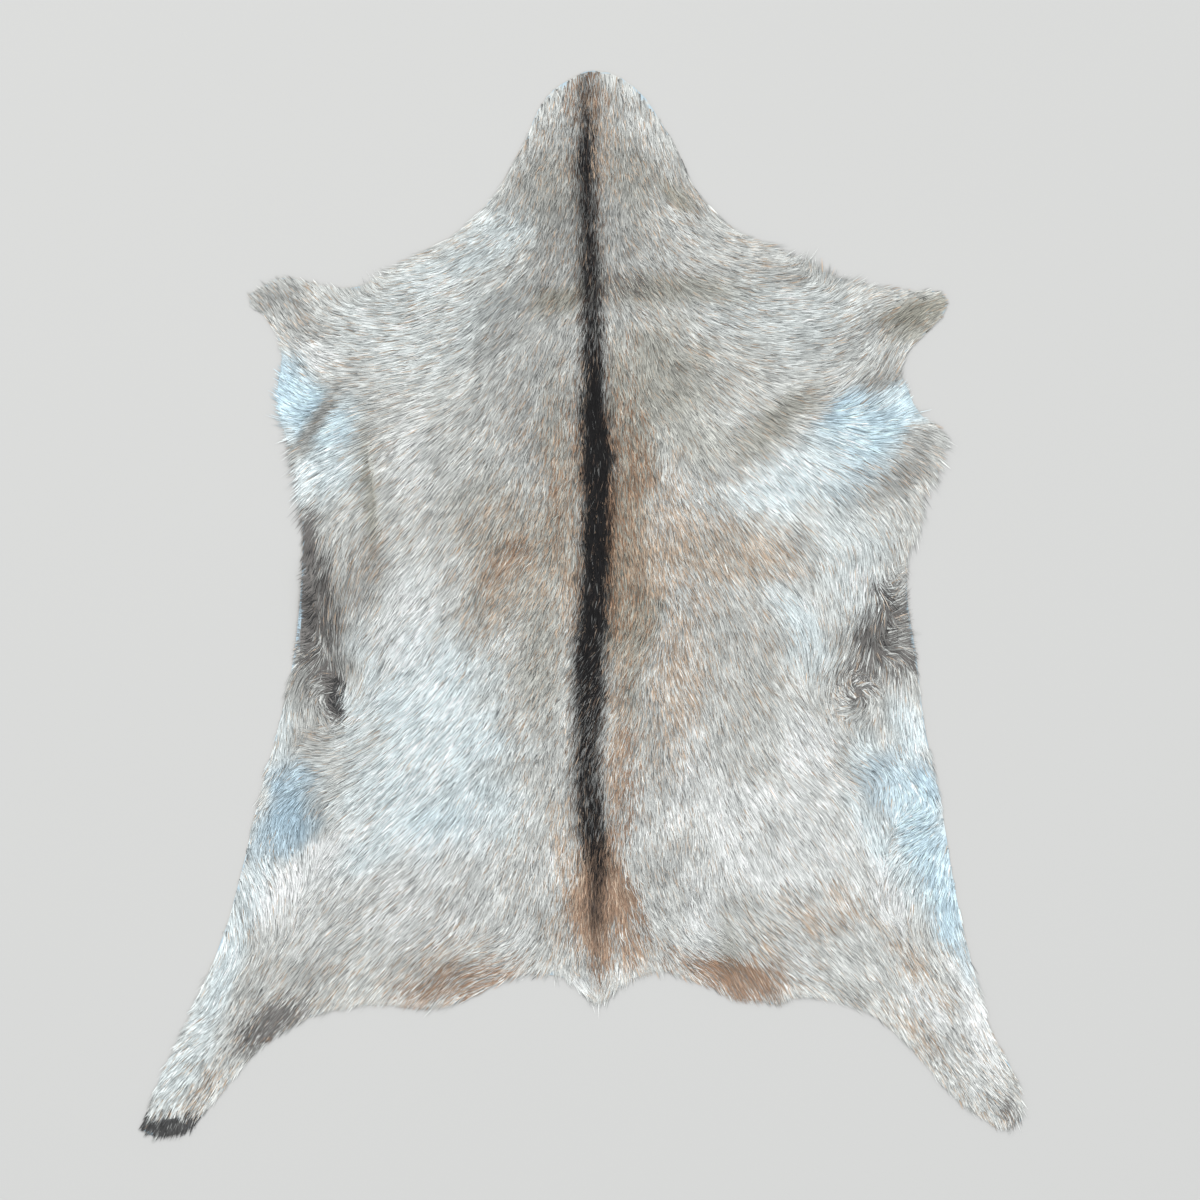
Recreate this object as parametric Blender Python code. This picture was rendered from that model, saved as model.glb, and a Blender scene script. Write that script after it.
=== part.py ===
"""A whole goatskin with its hair on, laid flat with the hair side up.

One piece of leather: neck, two fore shanks, chest flaps, flanks, two hind legs and the root of the
tail around one body. Units are metres, +Z is up, +Y runs to the neck and +X to the animal's right.
The origin is under the middle of the skin's box. The flesh side lies on z = 0, except under the
folds and swells.
"""

import math
from collections import namedtuple

import bmesh
import bpy
from mathutils import Vector

MM = 0.001

# The pelt is leather with its hair pressed flat on it
BODY_DEPTH = 4.8 * MM
RIM_DEPTH = 2.2 * MM
RIM_TAPER = 26.0 * MM
THINNEST = 2.0 * MM

# The slab is scored into cells, finer as far out from a fold as this share of its gentle side
RIM_STEPS = 3
CELL = 25.0 * MM
FOLD_CELL = 9.0 * MM
FOLD_MARGIN = 0.75
MERGE = 0.2 * MM
CORNER_DEG = 62.0
PATH_STEPS = 8
FOLD_END_POWER = 0.8

COAT_COLOUR = (0.62, 0.58, 0.54, 1.0)
COAT_ROUGHNESS = 0.85

# The cut edge, clockwise from the nape as seen from above. Each stretch is a row of (x, y) in mm.
RIM = {
    "right of the neck": [(11, 479), (47, 464), (73, 429), (90, 398), (99, 376), (112, 360)],
    "right shoulder": [(133, 338), (159, 325), (184, 314), (222, 296), (244, 288), (271, 283)],
    "right fore shank": [(302, 280), (322, 279), (328, 270), (325, 260), (310, 244), (291, 224), (286, 212)],
    "right chest flap": [(291, 197), (305, 169), (319, 159), (327, 148), (322, 135), (317, 111), (310, 105),
                         (305, 91), (301, 59), (293, 48)],
    "right flank": [(292, 28), (293, -1), (300, -44), (309, -116), (322, -176), (337, -266)],
    "right hind leg": [(354, -337), (374, -399), (387, -420), (395, -450), (395, -466), (380, -472),
                       (360, -462), (331, -440), (302, -406), (283, -387), (262, -370)],
    "right of the rump": [(248, -365), (222, -357), (189, -356), (179, -361), (159, -358), (139, -356),
                          (112, -343), (85, -334), (67, -331), (53, -335), (35, -344)],
    "tail": [(22, -356), (14, -360), (9, -359), (-3, -347), (-14, -338)],
    "left of the rump": [(-34, -334), (-57, -334), (-80, -344), (-104, -356), (-136, -365), (-158, -364),
                         (-177, -361), (-215, -365), (-244, -372)],
    "left hind leg": [(-261, -380), (-281, -393), (-301, -411), (-324, -440), (-347, -466), (-358, -475),
                      (-387, -479), (-396, -473), (-390, -457), (-379, -426), (-361, -392), (-347, -360)],
    "left flank": [(-319, -288), (-308, -248), (-290, -176), (-275, -119), (-262, -64), (-254, -4),
                   (-251, 57)],
    "left chest flap": [(-252, 79), (-257, 120), (-269, 159), (-274, 188), (-270, 222)],
    "left fore shank": [(-273, 237), (-283, 256), (-297, 267), (-300, 277), (-283, 287), (-273, 292),
                        (-251, 290), (-230, 284), (-205, 284)],
    "left shoulder": [(-181, 292), (-143, 316), (-109, 335), (-94, 350)],
    "left of the neck": [(-73, 374), (-67, 386), (-53, 412), (-32, 455), (-11, 471)],
}

# A fold is a ridge along its path, in mm. It falls off quickly on the left of the path's direction
# and slowly on the right.
Fold = namedtuple("Fold", "place path rise steep gentle")
FOLDS = [
    Fold("left flank roll", [(-222, -106), (-215, -80), (-221, -52), (-234, -8), (-244, 38)], 12, 10, 60),
    Fold("left chest crease", [(-183, 52), (-184, 92), (-188, 121), (-194, 152)], 8, 11, 62),
    Fold("left elbow crease", [(-258, 126), (-234, 162), (-214, 196)], 6, 18, 44),
    Fold("left rim curl", [(-256, -52), (-252, 0), (-250, 52)], 4, 8, 13),
    Fold("right chest fold", [(246, 88), (276, 118), (302, 136)], 5, 22, 44),
    Fold("right notch fold", [(252, 196), (270, 203), (288, 205)], 4, 13, 26),
    Fold("right flank parting", [(247, -88), (262, -52), (281, -6)], 4, 16, 34),
    Fold("right groin crease", [(290, -224), (304, -218), (318, -210)], 2.5, 8, 18),
    Fold("neck nick", [(60, 392), (70, 399), (80, 402)], 2.5, 8, 16),
]

# A swell is a low round rise where the skin doesn't lie quite flat, in mm and degrees.
Swell = namedtuple("Swell", "place x y along across turn rise")
SWELLS = [
    Swell("left ribs", -120, -95, 110, 80, 60, 3.0),
    Swell("right ribs", 140, -30, 120, 80, 110, 3.0),
    Swell("left haunch", -150, -290, 90, 60, 20, 2.6),
    Swell("right haunch", 190, -270, 90, 65, 150, 2.6),
    Swell("left shoulder", -130, 230, 80, 55, 150, 2.4),
    Swell("right shoulder", 150, 220, 85, 60, 30, 2.4),
    Swell("nape", 20, 395, 60, 45, 90, 2.0),
]

# Places where the hair is shorter and the leather thinner, in mm and degrees.
Thin = namedtuple("Thin", "place x y along across turn loss")
THIN_PLACES = [
    Thin("left groin", -267, -200, 62, 42, 75, 1.8),
    Thin("right groin", 297, -200, 110, 42, 100, 1.8),
    Thin("left chest flap", -252, 195, 60, 34, 90, 1.6),
    Thin("right chest flap", 268, 160, 60, 44, 60, 1.4),
    Thin("left fore shank", -262, 268, 60, 34, 150, 1.4),
    Thin("right fore shank", 295, 258, 60, 34, 20, 1.4),
    Thin("left hind leg", -352, -435, 95, 48, 60, 1.2),
    Thin("right hind leg", 362, -430, 95, 48, 120, 1.2),
    Thin("neck", 5, 430, 80, 55, 90, 1.0),
]


def clear_scene():
    for obj in list(bpy.data.objects):
        bpy.data.objects.remove(obj, do_unlink=True)


def coat_material():
    material = bpy.data.materials.new("coat")
    material.use_nodes = True
    shader = material.node_tree.nodes["Principled BSDF"]
    shader.inputs["Base Color"].default_value = COAT_COLOUR
    shader.inputs["Roughness"].default_value = COAT_ROUGHNESS
    shader.inputs["Metallic"].default_value = 0.0
    return material


def is_corner(before, point, after):
    """True where the cut edge turns sharply enough to be a point and not a curve."""
    arriving = point - before
    leaving = after - point
    return math.degrees(arriving.angle(leaving)) > CORNER_DEG


def rim_curve(depth):
    """The flat outline as a filled 2D curve, its underside on z = 0."""
    points = [Vector((x, y)) * MM for stretch in RIM.values() for x, y in stretch]
    curve = bpy.data.curves.new("rim", "CURVE")
    curve.dimensions = "2D"
    curve.fill_mode = "BOTH"
    curve.extrude = depth / 2
    curve.resolution_u = RIM_STEPS
    spline = curve.splines.new("BEZIER")
    spline.bezier_points.add(len(points) - 1)
    spline.use_cyclic_u = True
    for index, (knot, point) in enumerate(zip(spline.bezier_points, points)):
        corner = is_corner(points[index - 1], point, points[(index + 1) % len(points)])
        knot.co = point.to_3d()
        knot.handle_left_type = knot.handle_right_type = "VECTOR" if corner else "AUTO"
    outline = bpy.data.objects.new("rim", curve)
    outline.location.z = depth / 2
    bpy.context.scene.collection.objects.link(outline)
    bpy.context.view_layer.update()
    return outline


def mesh_of(outline):
    """The outline's evaluated mesh in world space, with its caps welded on, as a bmesh."""
    graph = bpy.context.evaluated_depsgraph_get()
    mesh = bpy.data.meshes.new_from_object(outline.evaluated_get(graph))
    mesh.transform(outline.matrix_world)
    slab = bmesh.new()
    slab.from_mesh(mesh)
    bmesh.ops.remove_doubles(slab, verts=slab.verts, dist=MERGE)
    bmesh.ops.dissolve_limit(slab, angle_limit=math.radians(0.5), verts=[],
                             edges=[e for e in slab.edges if is_cap_edge(e)])
    bpy.data.meshes.remove(mesh)
    bpy.data.objects.remove(outline, do_unlink=True)
    return slab


def is_cap_edge(edge):
    """True for an edge inside the upper or the lower face of the slab."""
    return all(abs(face.normal.z) > 0.9 for face in edge.link_faces)


def score(slab, low, high, pitch, fresh):
    """Cuts the faces inside a box along X and Y every pitch, so that they can bend."""
    for axis in (0, 1):
        count = int((high[axis] - low[axis]) / pitch)
        start = (low[axis] + high[axis] - count * pitch) / 2
        normal = Vector((1.0, 0.0, 0.0)) if axis == 0 else Vector((0.0, 1.0, 0.0))
        for step in range(count + 1):
            faces = [f for f in slab.faces if fresh or in_box(f, low, high)]
            edges = {e for f in faces for e in f.edges}
            corners = {v for f in faces for v in f.verts}
            bmesh.ops.bisect_plane(slab, geom=[*corners, *edges, *faces], dist=MERGE / 2,
                                   plane_co=normal * (start + step * pitch), plane_no=normal)


def in_box(face, low, high):
    middle = face.calc_center_median()
    return low[0] < middle.x < high[0] and low[1] < middle.y < high[1]


def smooth_path(points):
    """A Catmull-Rom curve through a fold's points."""
    ends = [2 * points[0] - points[1], *points, 2 * points[-1] - points[-2]]
    path = []
    for a, b, c, d in zip(ends, ends[1:], ends[2:], ends[3:]):
        for step in range(PATH_STEPS):
            t = step / PATH_STEPS
            path.append((2 * b + (c - a) * t + (2 * a - 5 * b + 4 * c - d) * t ** 2
                         + (3 * b - a - 3 * c + d) * t ** 3) / 2)
    return [*path, points[-1]]


def fold_paths():
    return [smooth_path([Vector(point) * MM for point in fold.path]) for fold in FOLDS]


def nearest_on_path(spot, path):
    """The distance to a path, negative on its left, and how far along it, from 0 to 1."""
    best = (math.inf, 0.0, 0.0)
    for index, (a, b) in enumerate(zip(path, path[1:])):
        run = b - a
        t = min(max((spot - a).dot(run) / run.length_squared, 0.0), 1.0)
        away = spot - (a + run * t)
        if away.length < best[0]:
            side = -1.0 if run.cross(spot - a) > 0.0 else 1.0
            best = (away.length, side, (index + t) / (len(path) - 1))
    return best[0] * best[1], best[2]


def hump(share):
    """A smooth fall from 1 at 0 to 0 at 1 and past it."""
    return (1.0 + math.cos(math.pi * share)) / 2 if share < 1.0 else 0.0


def fold_lift(spot, fold, path):
    distance, along = nearest_on_path(spot, path)
    reach = (fold.steep if distance < 0.0 else fold.gentle) * MM
    ends = max(math.sin(math.pi * along), 0.0) ** FOLD_END_POWER
    return fold.rise * MM * ends * hump(abs(distance) / reach)


def patch_share(spot, patch):
    """1 at the middle of an oval patch and 0 at its edge and outside."""
    turn = math.radians(patch.turn)
    x = spot.x - patch.x * MM
    y = spot.y - patch.y * MM
    along = (x * math.cos(turn) + y * math.sin(turn)) / (patch.along * MM)
    across = (y * math.cos(turn) - x * math.sin(turn)) / (patch.across * MM)
    return hump(math.hypot(along, across))


def lift_at(spot, paths):
    """How far the flesh side stands off the ground."""
    folds = sum(fold_lift(spot, fold, path) for fold, path in zip(FOLDS, paths))
    swells = sum(swell.rise * MM * patch_share(spot, swell) for swell in SWELLS)
    return folds + swells


def rim_distance(spot, rim):
    return min(abs(nearest_on_path(spot, [a, b])[0]) for a, b in zip(rim, rim[1:] + rim[:1]))


def depth_at(spot, rim):
    """Leather and pressed hair together, thinner at the rim, on the legs and in the groins."""
    taper = hump(rim_distance(spot, rim) / RIM_TAPER)
    loss = sum(thin.loss * MM * patch_share(spot, thin) for thin in THIN_PLACES)
    return max(BODY_DEPTH - (BODY_DEPTH - RIM_DEPTH) * taper - loss * (1.0 - taper), THINNEST)


def drape(slab, depth):
    """Gives every point of the flat slab its height on the folds and its depth of pelt."""
    paths = fold_paths()
    rim = rim_loop(slab)
    for vert in slab.verts:
        spot = vert.co.xy
        upper = vert.co.z > depth / 2
        vert.co.z = lift_at(spot, paths) + (depth_at(spot, rim) if upper else 0.0)


def rim_loop(slab):
    """The cut edge's points in order, read round the foot of the slab's side wall."""
    feet = [e for e in slab.edges
            if all(v.co.z < MERGE for v in e.verts) and any(abs(f.normal.z) < 0.1 for f in e.link_faces)]
    start = feet[0]
    vert = start.verts[1]
    loop = [start.verts[0].co.xy, vert.co.xy]
    used = {start}
    following = {v: [e for e in feet if v in e.verts] for e in feet for v in e.verts}
    while len(used) < len(feet):
        edge = next(e for e in following[vert] if e not in used)
        used.add(edge)
        vert = edge.other_vert(vert)
        loop.append(vert.co.xy)
    return loop[:-1]


def hide():
    """The whole skin as one closed solid."""
    slab = mesh_of(rim_curve(BODY_DEPTH))
    low = [min(v.co[axis] for v in slab.verts) for axis in (0, 1)]
    high = [max(v.co[axis] for v in slab.verts) for axis in (0, 1)]
    score(slab, low, high, CELL, True)
    for fold, path in zip(FOLDS, fold_paths()):
        reach = max(fold.steep, fold.gentle * FOLD_MARGIN) * MM
        fold_low = [min(p[axis] for p in path) - reach for axis in (0, 1)]
        fold_high = [max(p[axis] for p in path) + reach for axis in (0, 1)]
        score(slab, fold_low, fold_high, FOLD_CELL, False)
    drape(slab, BODY_DEPTH)
    middle = Vector(((low[0] + high[0]) / 2, (low[1] + high[1]) / 2, 0.0))
    bmesh.ops.translate(slab, verts=slab.verts, vec=-middle)
    bmesh.ops.triangulate(slab, faces=slab.faces, quad_method="BEAUTY", ngon_method="BEAUTY")
    bmesh.ops.recalc_face_normals(slab, faces=slab.faces)
    mesh = bpy.data.meshes.new("hide")
    slab.to_mesh(mesh)
    slab.free()
    mesh.shade_smooth()
    mesh.set_sharp_from_angle(angle=math.radians(50.0))
    mesh.materials.append(coat_material())
    return bpy.data.objects.new("hide", mesh)


def main():
    clear_scene()
    collection = bpy.data.collections.new("goatskin")
    bpy.context.scene.collection.children.link(collection)
    collection.objects.link(hide())


main()
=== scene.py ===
"""The looks of a hair-on goatskin laid flat: its leather, its coat of hair, and the studio it lies in.

Places in the tables are millimetres in the part's own frame: +X to the animal's right, +Y to the
neck. Headings are degrees from +X towards +Y, from the root of a hair to its tip.
"""

import math
from collections import namedtuple

import bmesh
import bpy
import numpy as np
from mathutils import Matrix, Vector
from mathutils.bvhtree import BVHTree


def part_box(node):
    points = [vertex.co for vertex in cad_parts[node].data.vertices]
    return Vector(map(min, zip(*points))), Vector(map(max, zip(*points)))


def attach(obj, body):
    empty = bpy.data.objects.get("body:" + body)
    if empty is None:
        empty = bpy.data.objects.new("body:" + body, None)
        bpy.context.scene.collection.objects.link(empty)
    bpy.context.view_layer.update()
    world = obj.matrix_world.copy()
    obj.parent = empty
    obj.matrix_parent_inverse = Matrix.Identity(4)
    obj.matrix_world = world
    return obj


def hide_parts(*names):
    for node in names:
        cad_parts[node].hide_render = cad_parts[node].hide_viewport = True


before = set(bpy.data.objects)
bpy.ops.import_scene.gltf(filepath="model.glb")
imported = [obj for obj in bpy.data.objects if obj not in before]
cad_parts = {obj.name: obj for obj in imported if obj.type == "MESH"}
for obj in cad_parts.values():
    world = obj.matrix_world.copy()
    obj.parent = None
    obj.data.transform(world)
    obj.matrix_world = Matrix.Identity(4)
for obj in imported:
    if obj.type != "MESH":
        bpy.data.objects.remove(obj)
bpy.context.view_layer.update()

bl_info = {
    "name": "Goatskin",
    "version": (1, 0, 0),
    "blender": (4, 5, 0),
    "location": "3D View > Sidebar > Goatskin",
    "description": "Leather, hair and studio for a goatskin laid flat",
    "category": "Object",
}

MM = 0.001
# Too small to matter, and a shift that makes a second random choice out of a first one
TINY = 1e-6
GOLDEN = 0.618
BODY = "root"

# How the hair lies, by place on the skin: rows of (x, y, heading)
COMB = {
    "neck": [(-11, 444, -92), (-29, 426, -95), (-47, 390, -110), (-56, 363, -118), (-29, 345, -105),
        (34, 444, -88), (52, 426, -80), (70, 390, -70), (25, 363, -88), (61, 336, -62)],
    "left shoulder": [(-74, 354, -135), (-92, 336, -158), (-74, 309, -150), (-56, 327, -132),
        (-20, 300, -112), (-38, 282, -125), (-74, 273, -140), (-119, 273, -160), (-146, 291, -170),
        (-182, 255, 175), (-164, 228, -170), (-119, 228, -155)],
    "right shoulder": [(88, 363, -50), (97, 327, -32), (52, 300, -55), (115, 309, -20), (142, 309, -8),
        (178, 291, 2), (196, 307, 45), (70, 273, -48), (124, 273, -20), (196, 273, 0), (160, 237, -8),
        (106, 219, -35)],
    "left fore shank": [(-288, 280, 140), (-267, 259, 122), (-254, 273, 135), (-218, 276, 128),
        (-195, 286, 115), (-209, 255, 170)],
    "right fore shank": [(210, 295, 100), (241, 286, 35), (268, 277, 15), (313, 273, 22),
        (295, 253, 35), (273, 232, 58), (273, 210, 68), (232, 228, 22)],
    "left chest": [(-245, 210, 142), (-254, 183, 148), (-218, 219, 165), (-231, 165, -158),
        (-213, 183, -175), (-200, 165, -155), (-227, 138, -152), (-254, 111, -140), (-218, 102, -135),
        (-182, 111, -140), (-146, 183, -160), (-245, 84, -132)],
    "right chest": [(277, 183, 35), (250, 196, 48), (268, 156, 12), (241, 138, -25), (304, 142, -30),
        (309, 112, -58), (286, 120, -42), (259, 111, -38), (277, 84, -62), (286, 61, -80),
        (241, 84, -48), (196, 237, 5)],
    "left back": [(-74, 246, -130), (-56, 165, -118), (-119, 138, -135), (-29, 228, -110),
        (-11, 183, -98), (-83, 93, -122), (-29, 93, -105), (-56, 30, -118), (-164, 57, -132),
        (-137, 3, -128), (-209, 48, -112), (-236, 57, -100)],
    "right back": [(52, 228, -78), (88, 183, -52), (142, 183, -38), (52, 138, -80), (97, 93, -62),
        (160, 111, -45), (61, 57, -76), (106, 39, -62), (178, 12, -55), (196, 75, -50), (223, 3, -75),
        (250, 39, -88)],
    "left flank": [(-227, 93, -140), (-245, 70, -120), (-231, 52, -108), (-209, 57, -120),
        (-243, 30, -95), (-227, 21, -96), (-227, -6, -88), (-231, -24, -76), (-220, -47, -76),
        (-209, 3, -103), (-191, 3, -115), (-213, -69, -100), (-207, -87, -125), (-195, -105, -140),
        (-182, -15, -125), (-249, 30, 155), (-249, 3, 165), (-251, -22, 176), (-243, -33, 172),
        (-251, -42, -155), (-256, -58, -118), (-252, -78, -100), (-254, -101, -90), (-261, -128, -95),
        (-269, -150, -118), (-207, -121, -158), (-222, -128, -178), (-234, -123, 150),
        (-218, -143, -165), (-234, -141, 175), (-231, -164, -165), (-209, -159, -152)],
    "right flank": [(268, -6, -108), (252, -15, -104), (257, -29, -116), (243, -47, -122),
        (234, -62, -112), (232, -83, -75), (286, 10, 55), (289, -8, 35), (291, -24, 10),
        (275, -33, 30), (293, -41, -35), (302, -60, -75), (291, -60, -92), (280, -56, -98),
        (237, -104, -60), (250, -107, -92), (257, -101, -110), (277, -87, -88), (273, -110, -82),
        (282, -128, -68), (295, -114, -80), (291, -146, -50), (309, -150, -58), (268, -146, -35),
        (232, -123, -45), (250, -131, -30), (241, -150, -25), (318, -173, -62)],
    "left ribs": [(-119, -69, -130), (-164, -87, -138), (-137, -141, -130), (-56, -42, -121),
        (-56, -105, -120), (-20, -78, -118), (-164, -195, -140), (-110, -204, -125), (-56, -177, -116),
        (-200, -177, -140)],
    "spine": [(7, 462, -90), (9, 318, -90), (13, 183, -90), (16, 75, -90), (14, 3, -96),
        (9, -42, -112), (9, -96, -112), (9, -132, -108), (7, -168, -100), (13, -213, -94),
        (14, -267, -90), (13, -312, -90)],
    "right ribs": [(39, -51, -112), (36, -105, -110), (57, -87, -94), (75, -87, -75), (106, -69, -68),
        (160, -69, -60), (196, -87, -55), (70, -168, -74), (115, -159, -72), (160, -159, -56),
        (39, -168, -96), (196, -159, -46)],
    "left groin": [(-276, -150, -122), (-261, -161, -148), (-238, -177, -112), (-276, -204, -100),
        (-243, -213, -86), (-283, -242, -62), (-263, -233, -70), (-268, -258, -92), (-299, -272, -78)],
    "right groin": [(268, -159, -110), (268, -195, -70), (309, -191, -165), (293, -209, -160),
        (285, -228, -136), (302, -242, -112), (309, -263, -94), (324, -242, -104), (327, -285, -70),
        (265, -222, -62)],
    "left haunch": [(-218, -222, -132), (-236, -258, -125), (-164, -249, -142), (-119, -240, -124),
        (-209, -294, -138), (-137, -294, -140), (-92, -272, -114), (-254, -312, -130),
        (-290, -321, -117), (-182, -330, -130), (-119, -330, -128), (-87, -323, -158)],
    "right haunch": [(106, -222, -84), (151, -222, -66), (196, -222, -50), (241, -231, -57),
        (178, -294, -38), (142, -290, -50), (223, -294, -44), (268, -285, -58), (313, -321, -60),
        (196, -330, -32), (241, -344, -46), (174, -348, -66)],
    "left hind leg": [(-317, -344, -115), (-272, -357, -128), (-299, -384, -128), (-344, -384, -142),
        (-369, -429, -136), (-326, -420, -119), (-344, -447, -125), (-384, -464, -124),
        (-360, -467, -112), (-218, -353, -130)],
    "right hind leg": [(286, -366, -62), (322, -366, -54), (354, -375, -62), (304, -402, -60),
        (340, -420, -55), (363, -425, -48), (376, -443, -46), (387, -461, -74), (363, -458, -64),
        (338, -443, -74)],
    "rump": [(-20, -249, -98), (-56, -258, -112), (52, -258, -76), (88, -267, -66), (-15, -308, -106),
        (-47, -312, -128), (-69, -312, -160), (34, -312, -80), (57, -312, -62), (75, -290, -50),
        (106, -308, -30), (138, -335, -64), (-6, -344, -58), (27, -344, -112)],
}
# A row's say falls off with distance beyond this, in mm
COMB_REACH = 11.0

# A whorl is a place that the hair turns round. Turn is how far its heading is from pointing outwards,
# and inner how far it reaches towards the middle of the back, in mm.
Whorl = namedtuple("Whorl", "place x y radius turn inner")
WHORLS = [
    Whorl("left flank", -224, -82, 24, 80, 5),
    Whorl("right flank", 248, -82, 21, -75, 30),
]
# Where a whorl fades out: shares of its radius, and mm to each side of its inner reach
WHORL_FADE, INNER_FADE = (0.7, 1.3), 3

# The coat's colours as seen. A soft tone tints every hair of its patch, and a fleck only some hairs.
Tone = namedtuple("Tone", "red green blue fleck")
TONES = {
    "ground": Tone(196, 198, 195, False),
    "cream": Tone(231, 234, 233, False),
    "frost": Tone(218, 230, 233, False),
    "sky": Tone(204, 227, 238, False),
    "blue": Tone(164, 186, 199, False),
    "grey": Tone(150, 151, 148, False),
    "olive": Tone(146, 144, 133, False),
    "slate": Tone(88, 84, 82, True),
    "black": Tone(25, 24, 25, True),
    "tan": Tone(178, 152, 128, True),
    "rust": Tone(146, 110, 84, True),
    "brown": Tone(92, 70, 56, True),
}
PALE_TONES = ("cream", "frost", "sky", "blue")

# Smooth noises over the skin: how wide their hills are, in mm, and a seed. A noise starts again after
# a row of hills, and the frame's origin lies at one near the middle of the row.
Hills = namedtuple("Hills", "size seed")
HILLS_IN_A_ROW, ORIGIN_HILL = 66, 31.0
STRAY_HILLS = [(Hills(30, 3), Hills(11, 4)), (Hills(30, 5), Hills(11, 6))]
WIDE_HILLS, FINE_HILLS = Hills(40, 7), Hills(13, 8)
TAN_HILLS = Hills(30, 9)
LINE_HILLS = Hills(7, 10)
COMB_HILLS, RUFFLE_HILLS = Hills(34, 11), Hills(11, 12)

# How far a patch's edge wanders, as a share of its half width, with what share of finer wandering,
# and how far a lock may stray, in mm
PATCH_STRAY, FINE_STRAY = 0.3, 0.6
LOCK_STRAY = 4.0
# How deep a fleck colours its hair, and what share of flecks the pale tones hide
FLECK_DEPTH, FLECK_HIDDEN = 0.75, 0.85

# Shares of hairs that differ from their neighbours wherever they grow, and by how much: tan hairs,
# darker hairs that are painted shadow in the gaps between locks, and brighter hairs that are painted
# highlights
TAN_HAIRS, TAN_DRIFT = 0.08, 0.8
SHADOW_HAIRS, SHADOW_HAIR_LEVEL = 0.14, 0.68
HIGHLIGHT_HAIRS, HIGHLIGHT_HAIR_LEVEL = 0.2, 1.065
HAIR_SHADE_RANGE = 0.16
LOCK_SHADE_RANGE = 0.085
# How much the hair's brightness drifts over the wide and the fine hills
MOTTLE_WIDE, MOTTLE = 0.045, 0.068

# Where an oval place fades out, as shares of its half length and half width
OVAL_FADE = (0.35, 1.35)

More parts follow.
